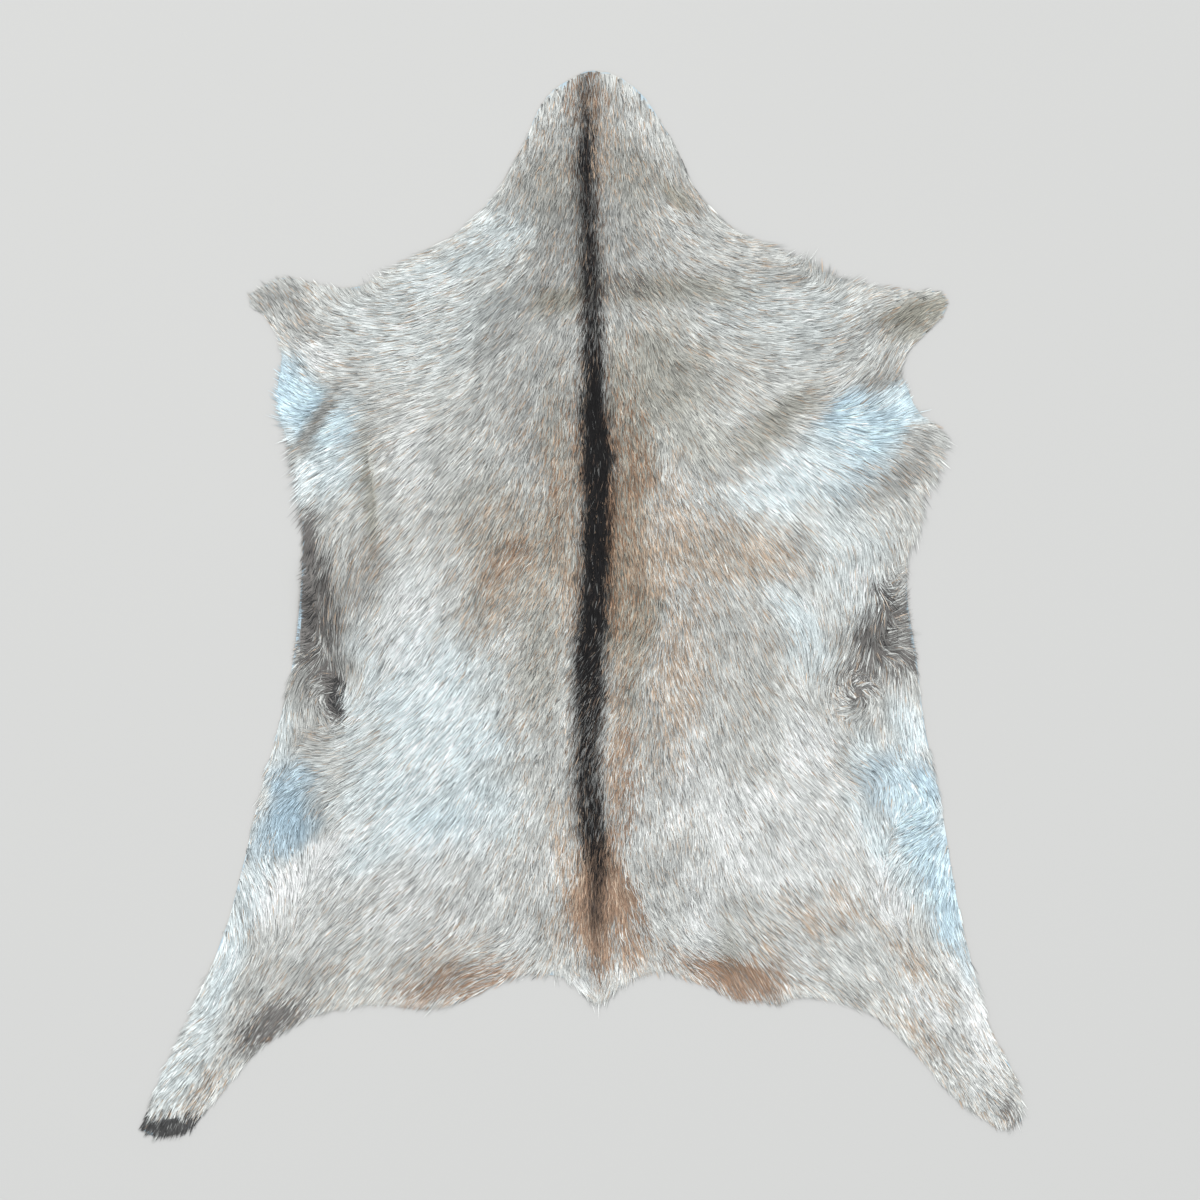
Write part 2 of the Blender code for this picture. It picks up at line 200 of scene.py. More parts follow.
# Oval patches of colour: middle, half length, half width, turn of the length, tone, share of hairs
Patch = namedtuple("Patch", "place x y along across turn tone share")
PATCHES = [Patch(*row) for row in [
    # neck and withers
    ("neck", 12, 362, 88, 76, 90, "grey", 0.76),
    ("neck, left of the line", -28, 372, 40, 24, 80, "olive", 0.25),
    ("neck, right of the line", 50, 375, 42, 26, 100, "olive", 0.3),
    ("nape, right rim", 55, 436, 38, 15, 118, "cream", 0.1),
    ("nape", 6, 455, 28, 20, 90, "rust", 0.25),
    ("nape, beside the line", 20, 415, 50, 14, 90, "tan", 0.3),
    ("nape, left of the line", -10, 400, 40, 8, 90, "rust", 0.06),
    ("neck nick", 88, 368, 20, 11, 140, "olive", 0.85),
    ("left shoulder rim", -85, 328, 46, 26, 32, "frost", 0.6),
    ("left neck foot", -28, 318, 36, 26, 90, "grey", 0.3),
    ("right neck foot", 44, 335, 30, 24, 90, "grey", 0.25),
    ("left withers", -48, 272, 62, 18, 12, "grey", 0.7),
    ("left withers, by the line", -16, 272, 30, 15, 10, "olive", 0.75),
    ("right withers", 85, 284, 75, 17, 0, "olive", 0.65),
    ("withers, right of the line", 30, 204, 44, 9, 90, "olive", 0.5),
    ("right withers, by the line", 40, 286, 28, 13, 0, "slate", 0.45),
    ("neck foot, right of the line", 31, 290, 36, 9, 88, "grey", 0.35),
    ("withers, beside the line", -22, 225, 36, 30, 90, "grey", 0.5),
    # shoulders and fore shanks
    ("left shoulder", -150, 245, 95, 62, 15, "frost", 0.3),
    ("left shoulder, low", -155, 134, 46, 20, 90, "cream", 0.55),
    ("left shoulder, upper rim", -140, 297, 50, 18, 25, "frost", 0.5),
    ("left shoulder, darker rim", -198, 280, 40, 10, 14, "grey", 0.5),
    ("left shoulder streak", -74, 238, 34, 14, 40, "grey", 0.35),
    ("left shoulder spot", -56, 190, 27, 15, 90, "grey", 0.3),
    ("right shoulder", 185, 262, 85, 46, 170, "frost", 0.3),
    ("right shoulder, darker rim", 214, 293, 44, 12, 172, "grey", 0.6),
    ("neck, right rim", 102, 370, 56, 13, 120, "grey", 0.42),
    ("right shoulder, inner", 80, 200, 60, 42, 100, "olive", 0.55),
    ("right shoulder, middle", 128, 212, 50, 40, 160, "olive", 0.1),
    ("right shoulder streak", 176, 164, 46, 15, 42, "olive", 0.6),
    ("right shoulder, low", 112, 140, 42, 22, 10, "olive", 0.3),
    ("left fore shank", -276, 278, 30, 15, 15, "grey", 0.75),
    ("left fore shank, inner", -252, 254, 28, 18, 120, "grey", 0.6),
    ("left fore shank, fold", -240, 228, 28, 13, 150, "cream", 0.7),
    ("right fore shank", 300, 264, 38, 17, 10, "olive", 0.9),
    ("right fore shank, under", 300, 244, 28, 11, 8, "olive", 0.6),
    ("right fore shank, inner", 262, 250, 22, 13, 40, "grey", 0.25),
    # Painted shade: the next row darkens the fold in the right notch
    ("right notch", 274, 206, 22, 10, 15, "grey", 1.0),
    ("right elbow", 241, 175, 30, 16, 35, "blue", 0.9),
    ("right notch, low", 286, 196, 20, 9, 15, "blue", 0.4),
    # left chest and flank
    ("left chest flap", -258, 184, 42, 24, 95, "sky", 1.0),
    ("left chest flap, shade", -258, 184, 40, 24, 95, "blue", 0.3),
    ("left elbow", -222, 152, 34, 20, 75, "sky", 0.8),
    ("left chest", -230, 112, 40, 30, 20, "frost", 1.0),
    # Painted shade in the creases: the next three rows darken the crease at the left elbow and the crease
    # along the left chest
    ("left elbow band", -237, 166, 36, 8, 58, "grey", 0.95),
    ("left elbow band, rim", -252, 138, 26, 9, 50, "grey", 0.6),
    ("left chest crease", -190, 95, 66, 7, 95, "olive", 0.75),
    ("left ribs, fore strip", -186, 8, 58, 19, 92, "grey", 0.5),
    ("left ribs, fore spot", -180, -12, 30, 14, 90, "olive", 0.4),
    ("left ribs, tan strip", -192, 20, 50, 14, 92, "tan", 0.15),
    ("left brisket rim", -248, 58, 28, 12, 80, "slate", 0.95),
    ("left flank", -237, 5, 64, 19, 103, "slate", 0.5),
    ("left flank, grey", -230, 2, 68, 23, 103, "grey", 0.85),
    ("left flank, roots", -238, 6, 56, 15, 103, "black", 0.2),
    ("left flank, low", -222, -32, 34, 18, 110, "grey", 0.35),
    # Painted shadow: the next row darkens the strip beside the bare rim, in the shade of the raised flank
    ("left flank, by the rim", -250, -8, 50, 12, 93, "slate", 0.8),
    ("left flank, rim roots", -248, -4, 50, 8, 93, "black", 0.25),
    ("left flank, inner", -205, 2, 44, 14, 98, "grey", 0.4),
    ("left roll, outer strip", -253, -70, 38, 14, 75, "grey", 0.75),
    ("left roll", -238, -66, 38, 17, 105, "slate", 0.4),
    # Painted shadow: the next two rows darken the pocket beside the left roll, where the roll's edge
    # overhangs it; the first is partly the hair's own brownish colour
    ("left roll shade", -226, -76, 34, 10, 108, "slate", 0.75),
    ("left roll hollow", -220, -84, 22, 9, 98, "black", 1.0),
    ("left flank, below the roll", -236, -118, 34, 16, 5, "grey", 0.25),
    ("left flank rim", -268, -108, 34, 12, 75, "grey", 0.05),
    ("left flank rim, pale", -271, -121, 30, 11, 75, "frost", 0.5),
    ("left roll, low", -236, -99, 18, 9, 75, "grey", 0.5),
    ("left ribs, by the roll", -189, -62, 26, 10, 100, "frost", 0.6),
    # left back and ribs
    ("left back, shade", -40, 185, 75, 30, 90, "grey", 0.3),
    ("left back, along the line", -18, 95, 110, 22, 90, "olive", 0.5),
    ("left back, rusty", -16, 95, 100, 20, 90, "rust", 0.22),
    ("left back, tan", -66, 38, 76, 48, 65, "tan", 0.22),
    ("left back, darker tan", -64, 36, 66, 42, 60, "olive", 0.4),
    ("left back, rusty spots", -72, 32, 34, 18, 50, "rust", 0.25),
    ("left back, fore", -90, 95, 40, 24, 30, "olive", 0.25),
    ("left back, by the line", -14, 2, 40, 9, 90, "tan", 0.3),
    ("left back, wide", -44, 60, 110, 40, 80, "tan", 0.12),
    ("left loin", -38, -45, 66, 22, 95, "olive", 0.38),
    ("left loin, low", -34, -150, 62, 17, 90, "grey", 0.2),
    ("left ribs, pale strip", -152, 70, 125, 30, 90, "cream", 0.05),
    ("left ribs, upper", -160, -30, 60, 40, 100, "cream", 0.85),
    ("left ribs", -134, -125, 112, 76, 97, "frost", 1.0),
    ("left ribs, by the loin", -96, -52, 40, 20, 80, "grey", 0.3),
    ("left ribs, lower", -136, -192, 88, 40, 178, "frost", 1.0),
    ("left ribs, by the haunch", -124, -200, 34, 18, 0, "sky", 0.3),
    # left groin, haunch and hind leg
    ("left groin", -260, -186, 42, 28, 80, "blue", 1.0),
    ("left groin, low", -285, -218, 40, 22, 72, "blue", 0.55),
    ("left groin, inner", -243, -178, 30, 10, 82, "grey", 0.35),
    ("left groin, foot", -292, -262, 34, 20, 60, "frost", 1.0),
    ("left haunch", -168, -262, 135, 54, 8, "cream", 0.6),
    ("left haunch, outer", -198, -225, 36, 18, 10, "frost", 0.8),
    ("left thigh fold", -246, -238, 66, 16, 42, "cream", 1.0),
    ("left haunch, inner", -92, -265, 46, 30, 10, "grey", 0.18),
    ("left haunch streak", -212, -282, 48, 16, 48, "grey", 0.3),
    ("left haunch, tan", -130, -318, 60, 24, 15, "tan", 0.22),
    ("left rump rim", -112, -342, 62, 18, 12, "rust", 0.48),
    ("left thigh, back", -245, -338, 46, 20, 38, "grey", 0.25),
    ("left hock, back", -280, -380, 46, 18, 38, "slate", 0.8),
    ("left thigh, rim", -318, -322, 60, 14, 66, "frost", 0.9),
    ("left hind leg, outer", -352, -402, 70, 20, 66, "frost", 0.6),
    ("left hind leg, middle", -336, -432, 30, 13, 60, "tan", 0.2),
    ("left hind leg, back", -309, -412, 26, 11, 48, "grey", 0.5),
    ("left hind leg, end", -376, -471, 38, 14, 5, "black", 1.0),
    ("left hock spot", -281, -393, 4, 4, 0, "rust", 1.0),
    # rump and tail
    ("rump, round the line", 12, -262, 56, 32, 90, "rust", 0.62),
    ("rump, line end", 12, -255, 40, 18, 90, "brown", 0.2),
    ("left rump", -26, -292, 28, 14, 90, "tan", 0.2),
    ("left rump, pale", -58, -302, 26, 14, 80, "cream", 0.5),
    ("left of the line, low", -21, -220, 56, 13, 90, "tan", 0.32),
    ("tail tip", -2, -343, 14, 9, 0, "cream", 0.8),
    ("rump, wide", 10, -258, 60, 34, 90, "tan", 0.3),
    ("tail, middle", 15, -312, 34, 11, 90, "rust", 0.45),
    ("right rump", 42, -285, 44, 15, 100, "rust", 0.55),
    ("right rump, low", 46, -318, 24, 15, 30, "tan", 0.3),
    ("right rump rim", 112, -330, 42, 17, 160, "rust", 0.45),
    ("right rump, upright", 132, -312, 32, 13, 100, "olive", 0.35),
    ("right rump corner", 148, -340, 42, 19, 170, "rust", 0.7),
    ("right rump, outer", 170, -308, 30, 18, 130, "tan", 0.25),
    # right back and ribs
    ("right back, along the line", 42, 50, 175, 26, 90, "olive", 0.85),
    ("right back, rusty", 40, 70, 160, 22, 90, "rust", 0.34),
    ("right back, rusty spot", 54, 118, 20, 16, 90, "rust", 0.3),
    ("right back, fore", 82, 84, 34, 20, 90, "tan", 0.4),
    ("right back, tan spot", 68, 30, 36, 15, 90, "tan", 0.3),
    ("right back, mid", 118, 46, 80, 30, 0, "tan", 0.34),
    ("right back, darker mid", 112, 45, 70, 26, 0, "olive", 0.25),
    ("right ribs, fore", 178, 40, 40, 17, 165, "tan", 0.2),
    ("right back, wide", 84, 0, 110, 46, 95, "tan", 0.26),
    ("right ribs", 145, -60, 84, 44, 105, "olive", 0.06),
    ("right loin", 82, -100, 66, 26, 80, "tan", 0.32),
    ("right loin, grey", 74, -125, 48, 20, 90, "grey", 0.35),
    ("right loin, along the line", 38, -165, 80, 17, 90, "rust", 0.34),
    ("right loin, tan by the line", 30, -120, 90, 9, 90, "tan", 0.4),
    ("right loin, shade", 36, -150, 80, 18, 90, "grey", 0.2),
    ("right back pale arc", 198, -18, 48, 18, 128, "frost", 0.8),
    ("right ribs, pale", 198, -46, 32, 17, 120, "frost", 0.5),
    # right chest and flank
    ("right brisket", 238, 52, 70, 44, 105, "frost", 0.45),
    ("right chest, below the flap", 240, 118, 46, 26, 20, "blue", 0.4),
    ("right chest flap", 262, 160, 58, 26, 30, "sky", 1.0),
    ("right chest", 190, 114, 56, 28, 28, "frost", 0.95),
    ("right shoulder band", 125, 92, 60, 15, 6, "frost", 0.2),
    ("right flap tip", 309, 135, 26, 16, 60, "grey", 0.6),
    ("right flap shade", 288, 114, 32, 16, 25, "grey", 0.65),
    ("right flank", 270, -12, 46, 26, 70, "slate", 0.5),
    ("right flank, grey", 284, -26, 42, 24, 70, "grey", 0.7),
    ("right flank, roots", 272, -14, 38, 18, 70, "black", 0.25),
    ("right flank, rim", 294, -40, 26, 10, 90, "slate", 0.45),
    ("right flank, low", 278, -54, 40, 22, 12, "slate", 0.5),
    ("right whorl", 246, -72, 24, 18, 150, "slate", 0.5),
    ("right whorl, tail", 250, -96, 22, 12, 100, "grey", 0.35),
    ("right flank rim", 294, -116, 36, 17, 100, "frost", 1.0),
    # right groin, haunch and hind leg
    ("right haunch", 165, -212, 110, 62, 165, "cream", 0.65),
    ("right haunch, inner", 104, -278, 40, 20, 100, "cream", 0.6),
    ("right haunch, outer", 192, -316, 26, 13, 130, "cream", 0.5),
    ("right loin, pale", 104, -160, 55, 22, 100, "cream", 0.3),
    ("right loin, low", 108, -195, 36, 18, 90, "grey", 0.22),
    ("right flank, pale", 205, -130, 50, 34, 120, "cream", 0.8),
    ("right flank, below the whorl", 254, -134, 30, 16, 100, "frost", 0.6),
    ("right groin", 274, -160, 32, 28, 100, "blue", 0.6),
    ("right groin, upper", 309, -166, 26, 13, 100, "blue", 0.9),
    ("right groin, mid", 302, -205, 58, 30, 105, "sky", 1.0),
    ("right groin, outer", 324, -262, 60, 17, 106, "sky", 1.0),
    ("right groin, outer shade", 326, -270, 50, 10, 106, "blue", 0.25),
    ("right thigh fold", 270, -225, 66, 14, 122, "frost", 1.0),
    ("right thigh", 200, -280, 34, 19, 140, "tan", 0.38),
    ("right thigh, mid", 236, -268, 24, 15, 110, "tan", 0.5),
    ("right thigh, outer", 278, -266, 36, 15, 112, "cream", 0.8),
    ("right thigh, low", 262, -318, 70, 30, 140, "cream", 0.12),
    ("right thigh streak", 296, -322, 64, 12, 128, "tan", 0.35),
    ("right hind leg, outer", 354, -370, 60, 16, 112, "cream", 0.8),
    ("right hock", 312, -364, 30, 14, 125, "cream", 0.8),
    ("right hock, back", 252, -358, 34, 11, 138, "grey", 0.35),
    ("right hind leg, upper rim", 345, -322, 26, 10, 110, "blue", 0.35),
    ("right hind leg, back", 303, -390, 32, 15, 135, "tan", 0.3),
    ("right hind leg, middle", 345, -415, 44, 20, 125, "cream", 0.25),
    ("right hind leg, end", 388, -461, 18, 9, 110, "slate", 0.6),
]]

# The dark line down the back: rows of (y, x of its middle, width, how dark it is)
Back = namedtuple("Back", "y x width depth")
BACK_LINE = [Back(*row) for row in [
    (470, 4, 7, 0.3), (450, 3, 7, 0.4), (430, 5, 9, 0.6), (400, 3, 12, 0.9), (360, 5, 10, 0.78),
    (320, 7, 12, 0.75), (290, 8, 15, 0.8), (260, 9, 15, 0.75), (230, 10, 15, 0.8), (200, 11, 14, 1.0),
    (175, 10, 20, 1.0), (150, 13, 25, 1.0), (130, 14, 27, 1.0), (110, 13, 26, 1.0), (90, 15, 22, 1.0),
    (60, 13, 24, 0.97), (30, 13, 22, 0.97), (0, 11, 24, 0.95), (-20, 11, 26, 0.94), (-40, 6, 24, 0.9),
    (-60, 6, 24, 0.92), (-90, 7, 24, 0.84), (-120, 5, 20, 0.7), (-150, 4, 20, 0.7), (-180, 7, 21, 0.78),
    (-200, 8, 23, 0.8), (-220, 11, 20, 0.74), (-240, 15, 16, 0.62), (-260, 13, 11, 0.52),
    (-280, 12, 12, 0.38), (-300, 12, 9, 0.25), (-330, 12, 7, 0.1)
]]
LINE_ENDS = (-345, 478)
# How softly its edge fades, how far single hairs and the edge itself stray, and how wide its brown
# edges are, in mm
LINE_FEATHER, LINE_RAGGED, LINE_DRIFT = 4.0, 4.0, 1.5
LINE_HALO = 12.0
# How dark the brown edges are, their share of brown hairs, how dark the line's pale hairs are, and
# the least share of these
LINE_SHADE, LINE_BROWN = 0.28, 0.4
LINE_PALE, LINE_PALE_HAIRS = 0.35, 0.05

# Other oval places: middle, half length, half width, turn and an amount
Spot = namedtuple("Spot", "place x y along across turn amount")

# Where the hair is shorter. The amount is the share of its length that it lacks.
SHORT_PLACES = [Spot(*row) for row in [
    ("back", 12, 20, 360, 110, 90, 0.3),
    ("neck", 5, 400, 110, 80, 90, 0.3),
    ("left fore shank", -262, 268, 70, 40, 150, 0.4),
    ("right fore shank", 295, 258, 75, 42, 20, 0.4),
    ("left chest flap", -250, 190, 60, 36, 90, 0.3),
    ("left groin", -270, -205, 70, 42, 75, 0.45),
    ("right groin", 300, -200, 100, 42, 100, 0.45),
    ("left hind leg", -340, -425, 120, 60, 60, 0.35),
    ("right hind leg", 350, -420, 120, 60, 120, 0.35),
    ("left whorl", -228, -80, 40, 30, 90, 0.35),
    ("left flank rim", -252, 0, 60, 14, 92, 0.5),
    ("right whorl", 250, -78, 40, 30, 90, 0.35),
]]

# How far from its lie a hair may point, in degrees, on the flanks and near the dark line, and between
# which distances from the line the one turns into the other, in mm
FLANK_RUFFLE, BACK_RUFFLE = 4.0, 11.0
RUFFLE_REACH = (40, 170)
# How far the comb itself drifts, in degrees, the share of the ruffle that turns whole locks, and how
# far a lock strays in it from its neighbours
COMB_DRIFT, LOCK_RUFFLE, LOCK_SCATTER = 5, 0.7, 0.5

# Where no hair grows near the cut edge. The amount is the width of the bare rim in mm.
BARE_RIMS = [Spot(*row) for row in [
    ("left flank", -254, 10, 105, 14, 92, 3.0),
    ("right flank", 296, -60, 105, 14, 95, 2.0),
]]
BARE_TONE = "blue"

# How far hair stands out past the cut edge, in mm, and where it stands out further by an amount
STAND_OUT = 1.1
TUFTS = [Spot(*row) for row in [
    ("left chest", -262, 110, 80, 30, 100, 3.0),
    ("left flank", -278, -100, 50, 25, 75, 3.5),
    ("left shoulder", -165, 300, 30, 16, 25, 2.5),
    ("right shoulder", 215, 300, 60, 22, 160, 2.5),
    ("right flap", 318, 130, 36, 24, 70, 3.5),
    ("right chest", 296, 72, 40, 20, 100, 2.5),
    ("left hind leg", -350, -410, 110, 60, 55, 1.5),
    ("right hind leg", 360, -410, 110, 60, 125, 1.5),
    ("rump", 15, -335, 170, 30, 0, 1.5),
]]
# How far in from the edge, or from its bare rim, the first roots stand, and rounds of moving hairs in
ROOT_INSET = 0.3
TRIM_ROUNDS = 3

# Layers of hair, sizes in mm: the locks' pitch, hairs in a lock, length, width, rise of the tips,
# spread of the roots across and along the lock, share that the tips draw together, bend
Layer = namedtuple("Layer", "name pitch hairs length width rise across along draw bend")
LAYERS = [
    Layer("undercoat", 5.6, 4, 15.0, 2.3, 1.6, 2.8, 3.0, 0.2, 0.0),
    Layer("coat", 5.0, 5, 18.0, 1.15, 2.6, 2.6, 3.2, 0.2, 0.0),
    Layer("topcoat", 5.2, 5, 18.0, 0.85, 3.3, 2.7, 3.4, 0.15, 0.0),
    Layer("guard_hair", 12.0, 2, 17.0, 0.85, 4.0, 5.0, 6.0, 0.0, 1.8),
]
# How long locks and their single hairs are, and how thick hairs and how high their tips are, as
# shares of their layer's sizes
LOCK_LENGTHS, HAIR_LENGTHS = (0.85, 1.12), (0.8, 1.1)
HAIR_WIDTHS, HAIR_RISES = (0.75, 1.25), (0.75, 1.1)
# Where a lock's tips meet when drawn together: shares of each root's place along and across the lock
DRAWN_ALONG, DRAWN_ACROSS = 0.4, 0.15
# A hair's ridge over its sides, as a share of its layer's width, the shares that it loses of width and
# ridge towards the tip, the curve of its rise, and how far along it bends
RIDGE = 0.25
WIDTH_LOSS, RIDGE_LOSS = 0.45, 0.4
RISE_CURVE = 0.8
BEND_PLACE = 0.55
# How deep roots sit in the leather, and the least height over the floor, in mm
ROOT_DEPTH, FLOOR_GAP = 0.1, 0.15
# Hair lies flatter near the cut edge: between these distances from it, in mm, and down to this share
FLAT_RIM, RIM_RISE = (-2, 26), 0.28
# How far the light sees a hair's sides lean from straight up, as a sine
HAIR_LEAN = 0.75
# Where along it a hair takes its colour from the patches
SEEN_PLACE = 0.6
# A hair's cell of its map: the margin in it, and the height of the rows that hairs take cells in, in mm
CELL_MARGIN, MAP_ROW = 0.2, 5

# Strands drawn on each hair: waves across and along its cell of the map, their depth of shade, and
# what they add to its roughness and relief
STRANDS_ACROSS, STRANDS_ALONG = 6.0, 1.1
STRAND_SHADE = 0.14
STRAND_ROUGHNESS, STRAND_BUMP, STRAND_RELIEF = 0.2, 0.0002, 0.6
# The curve by which a hair's painted root shade brightens towards its tip, and how it shines
ROOT_CURVE, HAIR_SPECULAR = 0.7, 0.16

# The leather: its noises' scale per metre, detail and roughness, the scale of its pores, its suede and
# the painted shade on its hair side under the hair, with their shares, how matt it is, and the depths of
# its relief
CLOUD, GRAIN, PORE_SCALE = (14.0, 4.0, 0.6), (420.0, 5.0, 0.65), 900.0
SUEDE, SUEDE_SHARE = (0.42, 0.34, 0.25, 1.0), 0.35
UNDER_HAIR_SHADE, UNDER_HAIR_SHADE_SHARE = (0.10, 0.085, 0.07, 1.0), 0.12
LEATHER_ROUGHNESS, GRAIN_ROUGHNESS, LEATHER_SPECULAR = 0.78, 0.18, 0.25
PORE_DEPTH, CLOUD_DEPTH, LEATHER_BUMP, LEATHER_RELIEF = 0.5, 0.6, 0.0004, 0.7
# Normals lower than this look down, and show the flesh side
FLESH_LIMIT = 0.05

# The studio: the floor's clouds and how matt it is, the even light's colour, and the two square lights
# with side and place in metres
FLOOR_SHADE, FLOOR_SHARE, FLOOR_NOISE, FLOOR_ROUGHNESS = (0.5, 0.5, 0.5, 1.0), 0.04, (3.0, 2.0), 0.85
SKY = (0.97, 0.985, 1.0, 1.0)
Light = namedtuple("Light", "name side place colour")
KEY = Light("key", 5.0, (-2.4, 4.4, 6.4), (1.0, 0.99, 0.975))
FILL = Light("fill", 6.0, (1.8, -2.4, 7.6), (0.97, 0.99, 1.0))

# The grids of the skin's height, edge and comb: pitch and margin in mm, how short of the last cell
# they are read, rounds that even out the heights, parts that the distances are worked out in, and the
# height in metres from which rays look for the skin
GRID_PITCH = 2.5
GRID_MARGIN = 40.0
FIELD_RIM = 0.001
HEIGHT_ROUNDS = 2
NEAREST_PARTS = 80
RAY_START = 1.0
SEED = 41

# The leather's sheet: how near points are merged, how far down the normal of its faces looks in the
# solid, rounds of smoothing, and the angle of a sharp edge
MERGE = 0.01 * MM
LOOKS_DOWN = -0.2
SHEET_ROUNDS = 3
SHARP_ANGLE = math.radians(50)


def smooth(low, high, value):
    """0 below low and 1 above high, with a smooth rise between them."""
    share = np.clip((value - low) / (high - low), 0, 1)
    return share * share * (3 - 2 * share)


def blend(values, column, row, right, up):
    """A mix of a grid's four values round a place, by shares from 0 to 1 of the next column and row."""
    below = values[row, column] * (1 - right) + values[row, column + 1] * right
    above = values[row + 1, column] * (1 - right) + values[row + 1, column + 1] * right
    return below * (1 - up) + above * up


class Field:
    """Numbers on a flat grid over the skin, read anywhere by blending the four nearest."""

    def __init__(self, values, low, pitch):
        self.values = values
        self.low = low
        self.pitch = pitch

    def at(self, x, y):
        rows, columns = self.values.shape[:2]
        u = np.clip((x - self.low[0]) / self.pitch, 0, columns - 1 - FIELD_RIM)
        v = np.clip((y - self.low[1]) / self.pitch, 0, rows - 1 - FIELD_RIM)
        column, row = u.astype(int), v.astype(int)
        fu, fv = u - column, v - row
        if self.values.ndim == 3:
            fu, fv = fu[:, None], fv[:, None]
        return blend(self.values, column, row, fu, fv)


def drift(x, y, hills):
    """Smooth noise from -1 to 1."""
    count = HILLS_IN_A_ROW
    lattice = np.random.default_rng(hills.seed).uniform(-1, 1, (count + 1, count + 1))
    u, v = x / hills.size + ORIGIN_HILL, y / hills.size + ORIGIN_HILL
    column, row = np.floor(u).astype(int), np.floor(v).astype(int)
    fu, fv = u - column, v - row
    return blend(lattice, column % count, row % count, smooth(0, 1, fu), smooth(0, 1, fv))


def oval_share(x, y, spot):
    """1 at the heart of an oval place, falling smoothly to 0 a third beyond its edge."""
    turn = math.radians(spot.turn)
    along = ((x - spot.x) * math.cos(turn) + (y - spot.y) * math.sin(turn)) / spot.along
    across = ((y - spot.y) * math.cos(turn) - (x - spot.x) * math.sin(turn)) / spot.across
    return 1 - smooth(*OVAL_FADE, np.hypot(along, across))


class Ground:
    """The skin that the hair grows on: its height, its cut edge and the lie of the hair, in mm."""

    def __init__(self, leather):
        low, high = (np.array(corner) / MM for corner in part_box("hide"))
        self.low = low[:2] - GRID_MARGIN
        self.shape = tuple(int((high[a] - low[a] + 2 * GRID_MARGIN) / GRID_PITCH) + 2 for a in (1, 0))
        x = self.low[0] + GRID_PITCH * np.arange(self.shape[1])
        y = self.low[1] + GRID_PITCH * np.arange(self.shape[0])
        self.x, self.y = np.meshgrid(x, y)
        tree = BVHTree.FromBMesh(leather)
        hits = [tree.ray_cast(Vector((x * MM, y * MM, RAY_START)), Vector((0, 0, -1)))[0]
                for x, y in zip(self.x.ravel(), self.y.ravel())]
        self.rim = self.field(self.rim_distances(leather, hits))
        slope_y, slope_x = np.gradient(self.rim.values, GRID_PITCH)
        self.inward = self.field(np.dstack([slope_x, slope_y]))
        self.height = self.field(self.heights(tree, hits))
        self.comb = self.field(self.headings())

    def field(self, values):
        return Field(values, self.low, GRID_PITCH)

    def rim_distances(self, leather, hits):
        """The distance from the cut edge, positive where a ray from above hits the skin."""
        edges = [e for e in leather.edges if e.is_boundary]
        points = np.array([(a.co.xy * (1 - t) + b.co.xy * t) / MM for a, b in (e.verts for e in edges)
                           for t in (0.25, 0.75)])
        flat = np.column_stack([self.x.ravel(), self.y.ravel()]).astype(np.float32)
        points = points.astype(np.float32)
        nearest = np.concatenate([
            np.sqrt(((part[:, None, :] - points[None]) ** 2).sum(2).min(1))
            for part in np.array_split(flat, NEAREST_PARTS)])
        return np.where([hit is not None for hit in hits], nearest, -nearest).reshape(self.shape)

    def heights(self, tree, hits):
        """The height of the leather, carried on past the cut edge from the nearest point of it."""
        values = []
        for x, y, hit in zip(self.x.ravel(), self.y.ravel(), hits):
            if hit is None:
                hit = tree.find_nearest(Vector((x * MM, y * MM, 0)))[0]
            values.append(hit.z / MM)
        values = np.array(values).reshape(self.shape)
        for _ in range(HEIGHT_ROUNDS):
            padded = np.pad(values, 1, mode="edge")
            values = (padded[:-2, 1:-1] + padded[2:, 1:-1] + padded[1:-1, :-2] + padded[1:-1, 2:]
                      + 2 * values) / 6
        return values

    def headings(self):
        """Unit vectors of the lie of the hair, blended from the comb's rows and turned at the whorls."""
        rows = np.array([row for place in COMB.values() for row in place], float)
        turn = np.radians(rows[:, 2])
        vectors = np.column_stack([np.cos(turn), np.sin(turn)])
        flow = np.zeros((*self.shape, 2))
        total = np.zeros(self.shape)
        for (x, y), vector in zip(rows[:, :2], vectors):
            weight = 1 / ((self.x - x) ** 2 + (self.y - y) ** 2 + COMB_REACH ** 2) ** 2
            flow += weight[..., None] * vector
            total += weight
        flow /= total[..., None]
        for whorl in WHORLS:
            away_x, away_y = self.x - whorl.x, self.y - whorl.y
            distance = np.hypot(away_x, away_y) + TINY
            turn = math.radians(whorl.turn)
            spiral = np.dstack([away_x * math.cos(turn) - away_y * math.sin(turn),
                                away_x * math.sin(turn) + away_y * math.cos(turn)])
            share = 1 - smooth(*WHORL_FADE, distance / whorl.radius)
            inwards = -math.copysign(1, whorl.x) * away_x
            share *= 1 - smooth(whorl.inner - INNER_FADE, whorl.inner + INNER_FADE, inwards)
            flow += (spiral / distance[..., None] - flow) * share[..., None]
        return flow / np.maximum(np.linalg.norm(flow, axis=2), TINY)[..., None]


def linear(colour):
    """The renderer's linear light of sRGB colours, both 0 to 1."""
    return np.where(colour <= 0.04045, colour / 12.92, ((colour + 0.055) / 1.055) ** 2.4)


def seen_colour(tone):
    """A tone's red, green and blue, 0 to 1."""
    return np.array(TONES[tone][:3]) / 255


def line_at(y):
    """Middle, width and depth of the dark line at these heights along the back."""
    rows = sorted(BACK_LINE)
    steps = [row.y for row in rows]
    return [np.interp(y, steps, [getattr(row, name) for row in rows]) for name in ("x", "width", "depth")]


def shuffled(draw):
    """Another number from 0 to 1 for each of these."""
    return np.mod(7 * draw, 1)


